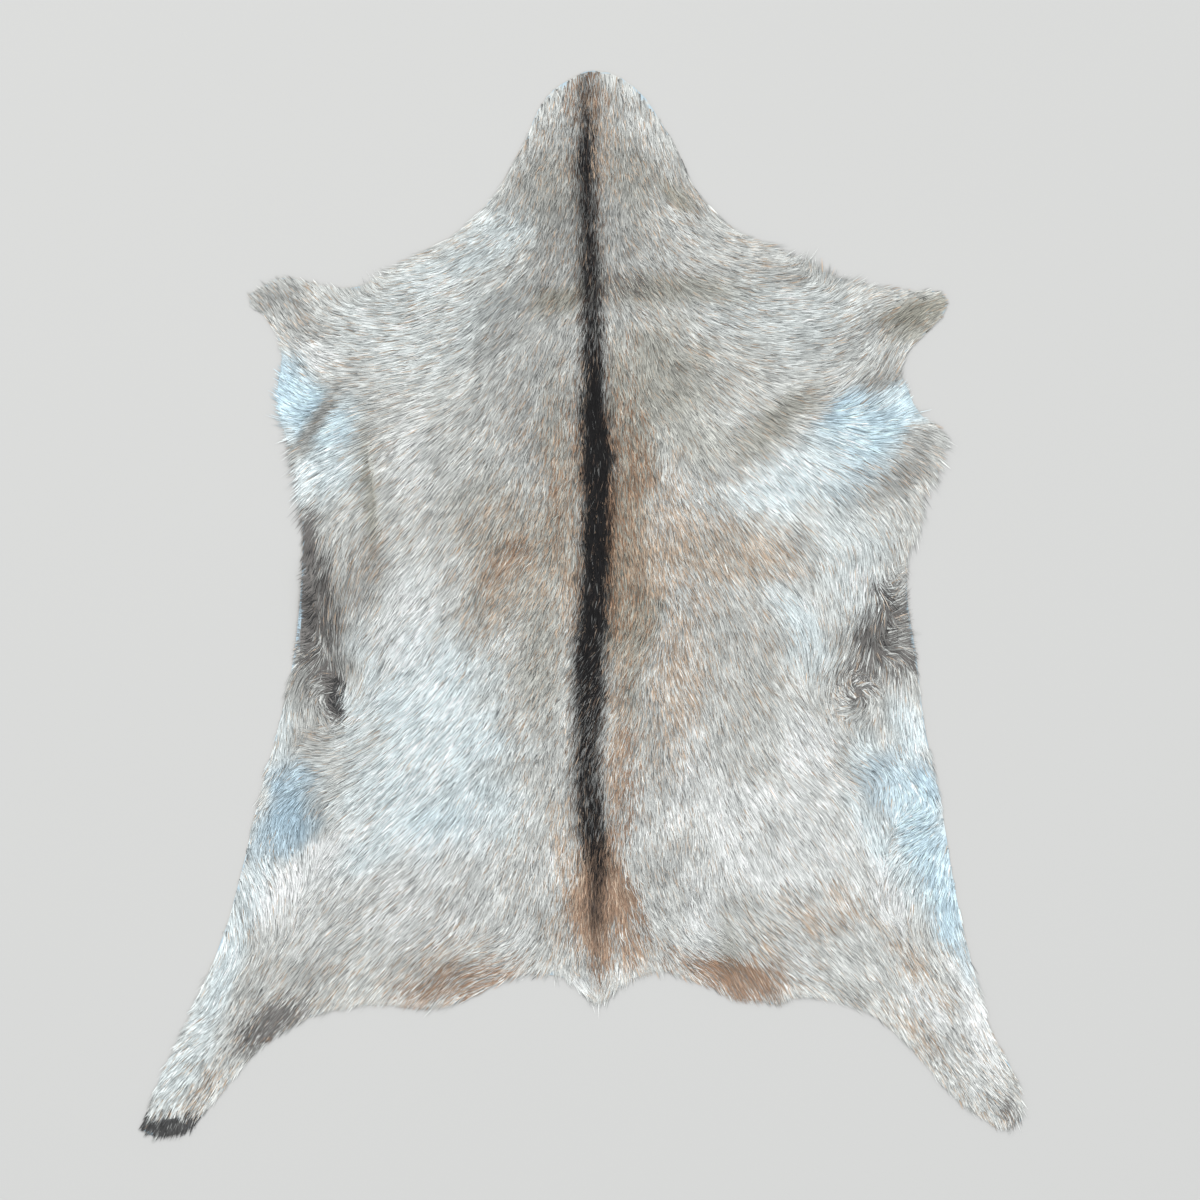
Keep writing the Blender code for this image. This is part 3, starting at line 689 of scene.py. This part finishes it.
def coat_colours(x, y, lock, draw, shade):
    """The linear colour of hairs at these places. The last three are random numbers from 0 to 1:
    one for a hair's lock, one that picks its tone and one for its brightness. Where one choice
    mustn't follow another, shuffled() makes a new number of the same one."""
    tones = {name: seen_colour(name) for name in TONES}
    stray_x, stray_y = (drift(x, y, wide) + FINE_STRAY * drift(x, y, fine) for wide, fine in STRAY_HILLS)
    own_x, own_y = LOCK_STRAY * (lock - 0.5), LOCK_STRAY * (shuffled(lock) - 0.5)
    colour = np.repeat(tones["ground"][None], len(x), 0)
    pale = np.zeros(len(x))
    plain = {name: np.ones(len(x)) for name, tone in TONES.items() if tone.fleck}
    plain["tan"] -= TAN_HAIRS * (1 + TAN_DRIFT * drift(x, y, TAN_HILLS))
    for patch in PATCHES:
        reach = PATCH_STRAY * patch.across
        share = patch.share * oval_share(x + own_x + reach * stray_x, y + own_y + reach * stray_y, patch)
        if TONES[patch.tone].fleck:
            plain[patch.tone] *= 1 - share
        else:
            colour += (tones[patch.tone] - colour) * share[:, None]
            pale += (float(patch.tone in PALE_TONES) - pale) * share
    middle, width, depth = line_at(y)
    edge = width / 2 - np.abs(x - middle) + LINE_DRIFT * drift(x, y, LINE_HILLS)
    on_line = (y > LINE_ENDS[0]) & (y < LINE_ENDS[1])
    halo = smooth(-LINE_HALO, 0, edge) * on_line * depth
    plain["brown"] *= 1 - LINE_BROWN * halo
    colour *= (1 - LINE_SHADE * halo)[:, None]
    taken = np.zeros(len(x))
    for name in ("brown", "rust", "tan"):
        plain[name] = 1 - (1 - plain[name]) * plain["black"] * plain["slate"]
    for name in ("black", "slate", "brown", "rust", "tan"):
        share = (1 - plain[name]) * (1 - FLECK_HIDDEN * pale)
        picked = (draw >= taken) & (draw < taken + share)
        colour[picked] += (tones[name] - colour[picked]) * FLECK_DEPTH
        taken += share
    # Painted shadow and painted highlight: some hairs are darkened as the gaps between locks, and some
    # are brightened as highlights
    colour *= np.where((draw >= taken) & (draw < taken + SHADOW_HAIRS), SHADOW_HAIR_LEVEL, 1.0)[:, None]
    colour *= np.where(draw > 1 - HIGHLIGHT_HAIRS, HIGHLIGHT_HAIR_LEVEL, 1.0)[:, None]
    ragged = np.mod(draw + GOLDEN, 1)
    dark = smooth(-LINE_FEATHER, LINE_FEATHER, edge + 2 * LINE_RAGGED * (ragged - 0.5)) * on_line
    pale_hairs = np.maximum((1 - depth) / (1 - LINE_PALE), LINE_PALE_HAIRS)
    dark *= np.where(shuffled(ragged) < pale_hairs, LINE_PALE, 1.0) * np.minimum(depth / LINE_PALE, 1)
    colour += (tones["black"] - colour) * dark[:, None]
    level = 1 + HAIR_SHADE_RANGE * (shade - 0.5) * 2 + LOCK_SHADE_RANGE * (lock - 0.5) * 2
    level += MOTTLE_WIDE * drift(x, y, WIDE_HILLS) + MOTTLE * drift(x, y, FINE_HILLS)
    return linear(np.clip(colour * level[:, None], 0, 1))


def bare_width(x, y):
    """How far in from the cut edge the skin has no hair at these places."""
    return sum(rim.amount * (oval_share(x, y, rim) > 0.5) for rim in BARE_RIMS)


def lock_roots(ground, layer, rng):
    """Places for locks on a jittered grid over the skin, in mm."""
    columns, rows = (int(ground.shape[a] * GRID_PITCH / layer.pitch) for a in (1, 0))
    column, row = np.meshgrid(np.arange(columns), np.arange(rows))
    x = ground.low[0] + (column.ravel() + rng.uniform(0, 1, column.size)) * layer.pitch
    y = ground.low[1] + (row.ravel() + rng.uniform(0, 1, row.size)) * layer.pitch
    keep = ground.rim.at(x, y) > ROOT_INSET + bare_width(x, y)
    return x[keep], y[keep]


def comb_hair(ground, layer, rng):
    """Every hair of a layer: its root and tip (x, y) in mm, and its lock's random number, 0 to 1."""
    x, y = lock_roots(ground, layer, rng)
    flow = ground.comb.at(x, y)
    heading = np.arctan2(flow[:, 1], flow[:, 0])
    near_line = 1 - smooth(*RUFFLE_REACH, np.abs(x - line_at(y)[0]))
    ruffle = FLANK_RUFFLE + (BACK_RUFFLE - FLANK_RUFFLE) * near_line
    scatter = drift(x, y, RUFFLE_HILLS) + rng.normal(0, LOCK_SCATTER, len(x))
    heading += np.radians(COMB_DRIFT * drift(x, y, COMB_HILLS) + LOCK_RUFFLE * ruffle * scatter)
    length = np.full(len(x), layer.length) * rng.uniform(*LOCK_LENGTHS, len(x))
    for short in SHORT_PLACES:
        length *= 1 - short.amount * oval_share(x, y, short)
    lock = rng.uniform(0, 1, len(x))

    count = layer.hairs
    x, y, heading, length, lock, ruffle = (
        np.repeat(values, count) for values in (x, y, heading, length, lock, ruffle))
    total = len(x)
    across = rng.uniform(-1, 1, total) * layer.across
    along = rng.uniform(-1, 1, total) * layer.along
    cos, sin = np.cos(heading), np.sin(heading)
    root = np.column_stack([x + cos * along - sin * across, y + sin * along + cos * across])
    own = heading + np.radians(rng.normal(0, 1, total) * ruffle)
    reach = length * rng.uniform(*HAIR_LENGTHS, total)
    free = root + np.column_stack([np.cos(own), np.sin(own)]) * reach[:, None]
    along, across = length + DRAWN_ALONG * along, DRAWN_ACROSS * across
    drawn = np.column_stack([x + cos * along - sin * across, y + sin * along + cos * across])
    tip = free * (1 - layer.draw) + drawn * layer.draw
    root, tip = trim(ground, root, tip, rng)
    return root, tip, lock


def trim(ground, root, tip, rng):
    """Moves hairs inwards that would stand out past the cut edge by more than a little."""
    spare = np.full(len(root), STAND_OUT)
    for tuft in TUFTS:
        spare += tuft.amount * oval_share(*root.T, tuft)
    spare *= rng.exponential(1.0, len(root))
    for _ in range(TRIM_ROUNDS):
        short = np.maximum(-spare - ground.rim.at(*tip.T), 0)
        slide = ground.inward.at(*tip.T) * short[:, None]
        root, tip = root + slide, tip + slide
    inside = np.maximum(ROOT_INSET + bare_width(*root.T) - ground.rim.at(*root.T), 0)
    root = root + ground.inward.at(*root.T) * inside[:, None]
    return root, tip


def spikes(ground, layer, root, tip, rng):
    """Closed hairs of three points at the root, three more at a bend, if any, and a tip: their points,
    rounded normals and faces, and how far along the hair each point is."""
    total = len(root)
    run = tip - root
    length = np.linalg.norm(run, axis=1) + TINY
    ahead = run / length[:, None]
    side = np.column_stack([-ahead[:, 1], ahead[:, 0]])
    bend = layer.bend * rng.uniform(-1, 1, total)
    width = layer.width * rng.uniform(*HAIR_WIDTHS, total)
    stations = [0.0, BEND_PLACE] if layer.bend else [0.0]
    taper = smooth(*FLAT_RIM, ground.rim.at(*tip.T)) * (1 - RIM_RISE) + RIM_RISE
    rise = layer.rise * rng.uniform(*HAIR_RISES, total) * taper
    rings = []
    for share in stations:
        middle = root + run * share + side * (bend * math.sin(math.pi * share))[:, None]
        half = width * (1 - share * WIDTH_LOSS) / 2
        level = ground.height.at(*middle.T) + rise * share ** RISE_CURVE - ROOT_DEPTH
        ridge = RIDGE * layer.width * (1 - share * RIDGE_LOSS)
        for offset, lift in ((-1, 0.0), (0, ridge), (1, 0.0)):
            place = middle + side * (half * offset)[:, None]
            rings.append(np.column_stack([place, level + lift]))
    rings.append(np.column_stack([tip, ground.height.at(*tip.T) + rise]))
    points = np.stack(rings, 1)
    points[..., 2] = np.maximum(points[..., 2], FLOOR_GAP)
    lean = np.append(np.tile([-1.0, 0.0, 1.0], len(stations)), 0.0) * HAIR_LEAN
    normals = np.zeros_like(points)
    normals[..., :2] = side[:, None] * lean[:, None]
    normals[..., 2] = np.sqrt(1 - lean ** 2)
    last = 3 * len(stations)
    faces = [(0, 1, 2)]
    for ring in range(0, last - 3, 3):
        for a, b in ((1, 0), (2, 1), (0, 2)):
            faces += [(ring + a, ring + b, ring + 3 + b), (ring + a, ring + 3 + b, ring + 3 + a)]
    faces += [(last - 3 + a, last - 3 + b, last) for a, b in ((1, 0), (2, 1), (0, 2))]
    return points, normals, np.array(faces), np.append(np.repeat(stations, 3), 1.0)


def hair_mesh(name, points, normals, faces, tone, along, cells):
    """One mesh of many closed hairs. Its map gives every hair a cell, in order of place."""
    total, corners = points.shape[:2]
    mesh = bpy.data.meshes.new(name)
    every = (np.arange(total)[:, None, None] * corners + faces[None]).reshape(-1)
    count = total * len(faces)
    mesh.vertices.add(total * corners)
    mesh.vertices.foreach_set("co", (points * MM).astype(np.float32).ravel())
    mesh.loops.add(count * 3)
    mesh.loops.foreach_set("vertex_index", every.astype(np.int32))
    mesh.polygons.add(count)
    mesh.polygons.foreach_set("loop_start", np.arange(0, count * 3, 3, dtype=np.int32))
    mesh.polygons.foreach_set("use_smooth", np.ones(count, bool))
    mesh.update(calc_edges=True)
    mesh.normals_split_custom_set_from_vertices(normals.reshape(-1, 3))

    across = np.resize([CELL_MARGIN, 0.5, 1 - CELL_MARGIN], corners)
    across[-1] = 0.5
    cell = np.stack([np.arange(total) % cells, np.arange(total) // cells], 1)[:, None, :]
    place = np.stack([across, CELL_MARGIN + (1 - 2 * CELL_MARGIN) * along], 1)[None]
    mapped = ((cell + place) / cells).reshape(-1, 2)
    layer = mesh.uv_layers.new(name="OFBake")
    layer.data.foreach_set("uv", mapped[every].astype(np.float32).ravel())
    colour = np.ones((total * corners, 4), np.float32)
    colour[:, :3] = np.repeat(tone, corners, 0)
    mesh.attributes.new("tone", "FLOAT_COLOR", "POINT").data.foreach_set("color", colour.ravel())
    shares = np.tile(along.astype(np.float32), total)
    mesh.attributes.new("along", "FLOAT", "POINT").data.foreach_set("value", shares)
    return mesh


class Socket:
    """A shader socket. Arithmetic on it adds the Math nodes that work it out."""

    def __init__(self, finish, socket):
        self.finish = finish
        self.socket = socket

    def math(self, operation, *values):
        return self.finish.node("ShaderNodeMath", {"operation": operation}, dict(enumerate(values)))

    def __add__(self, other):
        return self.math("ADD", self, other)

    def __mul__(self, other):
        return self.math("MULTIPLY", self, other)

    def __lt__(self, other):
        return self.math("LESS_THAN", self, other)

    def __pow__(self, other):
        return self.math("POWER", self, other)

    __radd__ = __add__
    __rmul__ = __mul__


class Finish:
    """Builds the nodes of one material."""

    def __init__(self, name):
        self.material = bpy.data.materials.new(name)
        self.material.use_nodes = True
        self.tree = self.material.node_tree
        self.shader = self.tree.nodes["Principled BSDF"]

    def node(self, kind, settings, inputs, output=0):
        """A node, with its settings and the values or links of its inputs, as a socket of its output."""
        node = self.tree.nodes.new(kind)
        for name, value in settings.items():
            setattr(node, name, value)
        for key, value in inputs.items():
            self.feed(node.inputs[key], value)
        return Socket(self, node.outputs[output])

    def feed(self, socket, value):
        if isinstance(value, Socket):
            self.tree.links.new(value.socket, socket)
        else:
            socket.default_value = value

    def set(self, **inputs):
        for name, value in inputs.items():
            self.feed(self.shader.inputs[name.replace("_", " ")], value)

    def place(self):
        return self.node("ShaderNodeTexCoord", {}, {}, "Object")

    def noise(self, scale, detail=3.0, roughness=0.5):
        return self.node("ShaderNodeTexNoise", {}, {"Vector": self.place(), "Scale": scale,
                                                    "Detail": detail, "Roughness": roughness})

    def strands(self, cells, across, along):
        """Fine lines along each hair, from the hair's own cell of its map."""
        uv = self.node("ShaderNodeUVMap", {"uv_map": "OFBake"}, {})
        spread = self.node("ShaderNodeVectorMath", {"operation": "MULTIPLY"},
                           {0: uv, 1: (cells * across, cells * along, 1.0)})
        return self.node("ShaderNodeTexNoise", {"noise_dimensions": "2D"},
                         {"Vector": spread, "Scale": 1.0, "Detail": 1.0, "Roughness": 0.5})

    def mix(self, share, first, second, blend="MIX"):
        """Colours mixed by share. Sockets 6 and 7 of a Mix node are its two colours."""
        return self.node("ShaderNodeMix", {"data_type": "RGBA", "blend_type": blend},
                         {0: share, 6: first, 7: second}, 2)

    def attribute(self, name, output):
        return self.node("ShaderNodeAttribute", {"attribute_name": name}, {}, output)

    def bump(self, height, distance, strength=1.0):
        return self.node("ShaderNodeBump", {}, {"Height": height, "Distance": distance,
                                                "Strength": strength})


def hair_finish(settings, cells):
    """Hair with finer strands along it, darkened towards the root as painted shade. The map has this many
    cells a side.
    """
    finish = Finish("goat_hair")
    along = finish.attribute("along", "Fac")
    # Painted shade: the root is darkened as the shade that the hairs over it would cast
    light = settings.root_shade + (1.0 - settings.root_shade) * along ** ROOT_CURVE
    strands = finish.strands(cells, STRANDS_ACROSS, STRANDS_ALONG)
    level = light * (1.0 - STRAND_SHADE + 2.0 * STRAND_SHADE * strands)
    grey = finish.node("ShaderNodeCombineXYZ", {}, {0: level, 1: level, 2: level})
    finish.set(Base_Color=finish.mix(1.0, finish.attribute("tone", "Color"), grey, "MULTIPLY"),
               Roughness=settings.hair_roughness + STRAND_ROUGHNESS * strands,
               Normal=finish.bump(strands, STRAND_BUMP, STRAND_RELIEF),
               Specular_IOR_Level=HAIR_SPECULAR)
    return finish.material


def leather_finish(settings):
    """Tanned leather: a matt pale flesh side with fine grain, and on the hair side the coat's tone with
    painted shade.
    """
    finish = Finish("goat_leather")
    normal = finish.node("ShaderNodeTexCoord", {}, {}, "Normal")
    up = finish.node("ShaderNodeSeparateXYZ", {}, {0: normal}, 2)
    flesh = up < FLESH_LIMIT
    cloud = finish.noise(*CLOUD)
    grain = finish.noise(*GRAIN)
    pores = finish.node("ShaderNodeTexVoronoi", {"feature": "F1"},
                        {"Vector": finish.place(), "Scale": PORE_SCALE})
    pale = finish.mix(cloud, (*settings.flesh_colour, 1.0), (*settings.flesh_shade, 1.0))
    suede = finish.mix(SUEDE_SHARE * grain, pale, SUEDE)
    # Painted shade: the hair side is darkened a little, as the shade under the hair
    hair_side = finish.mix(UNDER_HAIR_SHADE_SHARE, finish.attribute("tone", "Color"), UNDER_HAIR_SHADE)
    finish.set(Base_Color=finish.mix(flesh, hair_side, suede),
               Roughness=LEATHER_ROUGHNESS + GRAIN_ROUGHNESS * grain,
               Normal=finish.bump(grain + PORE_DEPTH * pores + CLOUD_DEPTH * cloud, LEATHER_BUMP,
                                  LEATHER_RELIEF),
               Specular_IOR_Level=LEATHER_SPECULAR)
    return finish.material


def floor_finish(settings):
    """A plain matt floor with hardly visible clouds."""
    finish = Finish("studio_floor")
    share = FLOOR_SHARE * finish.noise(*FLOOR_NOISE)
    finish.set(Base_Color=finish.mix(share, (*settings.floor_colour, 1.0), FLOOR_SHADE),
               Roughness=FLOOR_ROUGHNESS)
    return finish.material


def flesh_side():
    """The underside of the hide's solid as an open sheet that faces up, as a bmesh."""
    sheet = bmesh.new()
    sheet.from_mesh(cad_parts["hide"].data)
    bmesh.ops.remove_doubles(sheet, verts=sheet.verts, dist=MERGE)
    sheet.normal_update()
    bmesh.ops.delete(sheet, geom=[f for f in sheet.faces if f.normal.z > LOOKS_DOWN], context="FACES")
    bmesh.ops.reverse_faces(sheet, faces=sheet.faces)
    bmesh.ops.subdivide_edges(sheet, edges=sheet.edges, cuts=1, use_grid_fill=True)
    inner = [v for v in sheet.verts if not v.is_boundary]
    for _ in range(SHEET_ROUNDS):
        bmesh.ops.smooth_vert(sheet, verts=inner, factor=0.5, use_axis_z=True)
    sheet.normal_update()
    return sheet


def add_piece(context, name, mesh, material):
    mesh.materials.append(material)
    piece = bpy.data.objects.new(name, mesh)
    context.scene.collection.objects.link(piece)
    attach(piece, BODY)
    return piece


class GoatskinSettings(bpy.types.PropertyGroup):
    """Sizes and colours of the leather and the hair."""

    leather_depth: bpy.props.FloatProperty(
        name="Leather depth", description="Thickness of the tanned leather without its hair",
        default=1.2 * MM, min=0.5 * MM, max=3.0 * MM, unit="LENGTH")
    flesh_colour: bpy.props.FloatVectorProperty(
        name="Flesh side", description="Main colour of the flesh side",
        default=(0.68, 0.60, 0.49), subtype="COLOR", min=0.0, max=1.0)
    flesh_shade: bpy.props.FloatVectorProperty(
        name="Flesh side, darker", description="Colour of the flesh side's clouds",
        default=(0.52, 0.43, 0.33), subtype="COLOR", min=0.0, max=1.0)
    hair_length: bpy.props.FloatProperty(
        name="Hair length", description="Length of the hair as a share of a short goat coat's",
        default=1.0, min=0.5, max=2.0, subtype="FACTOR")
    hair_roughness: bpy.props.FloatProperty(
        name="Hair roughness", description="How matt the hair is",
        default=0.58, min=0.1, max=0.8, subtype="FACTOR")
    # Painted shade between the hairs, darkest at the root
    root_shade: bpy.props.FloatProperty(
        name="Root shade", description="Brightness of a hair's root as a share of its tip's",
        default=0.62, min=0.1, max=1.0, subtype="FACTOR")


class StudioSettings(bpy.types.PropertyGroup):
    """The floor, the lights and the camera."""

    floor_colour: bpy.props.FloatVectorProperty(
        name="Floor", description="Colour of the plain floor",
        default=(0.41, 0.41, 0.403), subtype="COLOR", min=0.0, max=1.0)
    floor_size: bpy.props.FloatProperty(
        name="Floor size", description="Side of the square floor", default=12.0, unit="LENGTH")
    camera_height: bpy.props.FloatProperty(
        name="Camera height", description="Height of the camera over the floor",
        default=3.0, unit="LENGTH")
    view_width: bpy.props.FloatProperty(
        name="View width", description="Width of floor that the camera sees",
        default=1.08, unit="LENGTH")
    view_middle: bpy.props.FloatVectorProperty(
        name="View middle", description="Point under the camera",
        default=(16.5 * MM, 3.3 * MM), size=2, unit="LENGTH")
    key_power: bpy.props.FloatProperty(
        name="Key light", description="Power of the low soft light in watts", default=475.0)
    fill_power: bpy.props.FloatProperty(
        name="Fill light", description="Power of the light overhead in watts", default=328.0)
    ambient: bpy.props.FloatProperty(
        name="Ambient light", description="Strength of the even light from all round", default=0.79)


class GOATSKIN_OT_leather(bpy.types.Operator):
    """Make the tanned leather, a thin sheet with the skin's folds"""

    bl_idname = "goatskin.leather"
    bl_label = "Leather"

    def execute(self, context):
        settings = context.scene.goatskin
        sheet = flesh_side()
        ground = Ground(sheet)
        area = sum(f.calc_area() for f in sheet.faces)
        made = bmesh.ops.extrude_face_region(sheet, geom=sheet.faces[:], use_keep_orig=True)
        raised = [v for v in made["geom"] if isinstance(v, bmesh.types.BMVert)]
        bmesh.ops.translate(sheet, verts=raised, vec=(0, 0, settings.leather_depth))
        bmesh.ops.recalc_face_normals(sheet, faces=sheet.faces)
        mesh = bpy.data.meshes.new("leather")
        sheet.to_mesh(mesh)
        sheet.free()
        mesh.shade_smooth()
        mesh.set_sharp_from_angle(angle=SHARP_ANGLE)
        place = np.array([v.co for v in mesh.vertices]) / MM
        colour = np.ones((len(place), 4), np.float32)
        even = np.full(len(place), 0.5)
        colour[:, :3] = coat_colours(place[:, 0], place[:, 1], even, even, even)
        bare = ground.rim.at(place[:, 0], place[:, 1]) < bare_width(place[:, 0], place[:, 1])
        colour[bare, :3] = linear(seen_colour(BARE_TONE))
        mesh.attributes.new("tone", "FLOAT_COLOR", "POINT").data.foreach_set("color", colour.ravel())
        leather = add_piece(context, "leather", mesh, leather_finish(settings))
        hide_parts("hide")
        return {"FINISHED"}


class GOATSKIN_OT_hair(bpy.types.Operator):
    """Grow the coat of hair in layers, each in a left and a right half"""

    bl_idname = "goatskin.hair"
    bl_label = "Hair"

    def execute(self, context):
        settings = context.scene.goatskin
        sheet = flesh_side()
        bmesh.ops.translate(sheet, verts=sheet.verts, vec=(0, 0, settings.leather_depth))
        ground = Ground(sheet)
        sheet.free()
        for number, layer in enumerate(LAYERS):
            rng = np.random.default_rng(SEED + number)
            layer = layer._replace(length=layer.length * settings.hair_length)
            root, tip, lock = comb_hair(ground, layer, rng)
            points, normals, faces, along = spikes(ground, layer, root, tip, rng)
            seen = root * (1 - SEEN_PLACE) + tip * SEEN_PLACE
            draw, shade = rng.uniform(0, 1, (2, len(root)))
            tone = coat_colours(seen[:, 0], seen[:, 1], lock, draw, shade)
            middle = line_at(root[:, 1])[0]
            order = np.lexsort((root[:, 0], np.floor(root[:, 1] / MAP_ROW)))
            for side, chosen in (("left", root[:, 0] < middle), ("right", root[:, 0] >= middle)):
                rows = order[chosen[order]]
                cells = math.ceil(math.sqrt(len(rows)))
                mesh = hair_mesh(layer.name + "_" + side, points[rows], normals[rows], faces,
                                 tone[rows], along, cells)
                piece = add_piece(context, mesh.name, mesh, hair_finish(settings, cells))
                piece["goatskin_hair"] = True
                print(piece.name, len(rows), "hairs", len(mesh.polygons), "faces")
        return {"FINISHED"}


class GOATSKIN_OT_studio(bpy.types.Operator):
    """Lay the floor and set the lights and the camera"""

    bl_idname = "goatskin.studio"
    bl_label = "Studio"

    def execute(self, context):
        studio = context.scene.goatskin_studio
        plane = bmesh.new()
        bmesh.ops.create_grid(plane, x_segments=1, y_segments=1, size=studio.floor_size / 2)
        mesh = bpy.data.meshes.new("floor")
        plane.to_mesh(mesh)
        plane.free()
        mesh.materials.append(floor_finish(studio))
        floor = bpy.data.objects.new("floor", mesh)
        context.scene.collection.objects.link(floor)

        world = bpy.data.worlds.new("studio")
        world.use_nodes = True
        background = world.node_tree.nodes["Background"]
        background.inputs["Color"].default_value = SKY
        background.inputs["Strength"].default_value = studio.ambient
        context.scene.world = world
        context.scene.view_settings.view_transform = "Standard"
        self.add_light(context, KEY, studio.key_power)
        self.add_light(context, FILL, studio.fill_power)

        x, y = studio.view_middle
        data = bpy.data.cameras.new("camera")
        data.sensor_fit = "HORIZONTAL"
        data.lens = data.sensor_width * studio.camera_height / studio.view_width
        camera = bpy.data.objects.new("camera", data)
        camera.location = (x, y, studio.camera_height)
        context.scene.collection.objects.link(camera)
        context.scene.camera = camera
        return {"FINISHED"}

    def add_light(self, context, light, power):
        """A square light that looks at the middle of the floor."""
        data = bpy.data.lights.new(light.name, "AREA")
        data.energy = power
        data.size = light.side
        data.color = light.colour
        lamp = bpy.data.objects.new(light.name, data)
        lamp.location = light.place
        lamp.rotation_euler = (-Vector(light.place)).to_track_quat("-Z", "Y").to_euler()
        context.scene.collection.objects.link(lamp)


class GOATSKIN_PT_panel(bpy.types.Panel):
    """The settings and the steps that make the goatskin"""

    bl_idname = "GOATSKIN_PT_panel"
    bl_label = "Goatskin"
    bl_space_type = "VIEW_3D"
    bl_region_type = "UI"
    bl_category = "Goatskin"

    def draw(self, context):
        for settings in (context.scene.goatskin, context.scene.goatskin_studio):
            box = self.layout.box()
            for name in settings.bl_rna.properties.keys():
                if name not in ("rna_type", "name"):
                    box.prop(settings, name)
        for operator in STEPS:
            self.layout.operator(operator.bl_idname)


STEPS = (GOATSKIN_OT_hair, GOATSKIN_OT_leather, GOATSKIN_OT_studio)
CLASSES = (GoatskinSettings, StudioSettings, *STEPS, GOATSKIN_PT_panel)


def register():
    for cls in CLASSES:
        bpy.utils.register_class(cls)
    bpy.types.Scene.goatskin = bpy.props.PointerProperty(type=GoatskinSettings)
    bpy.types.Scene.goatskin_studio = bpy.props.PointerProperty(type=StudioSettings)


def unregister():
    del bpy.types.Scene.goatskin_studio
    del bpy.types.Scene.goatskin
    for cls in reversed(CLASSES):
        bpy.utils.unregister_class(cls)


def main():
    register()
    bpy.ops.goatskin.hair()
    bpy.ops.goatskin.leather()
    bpy.ops.goatskin.studio()


if __name__ == "__main__":
    main()
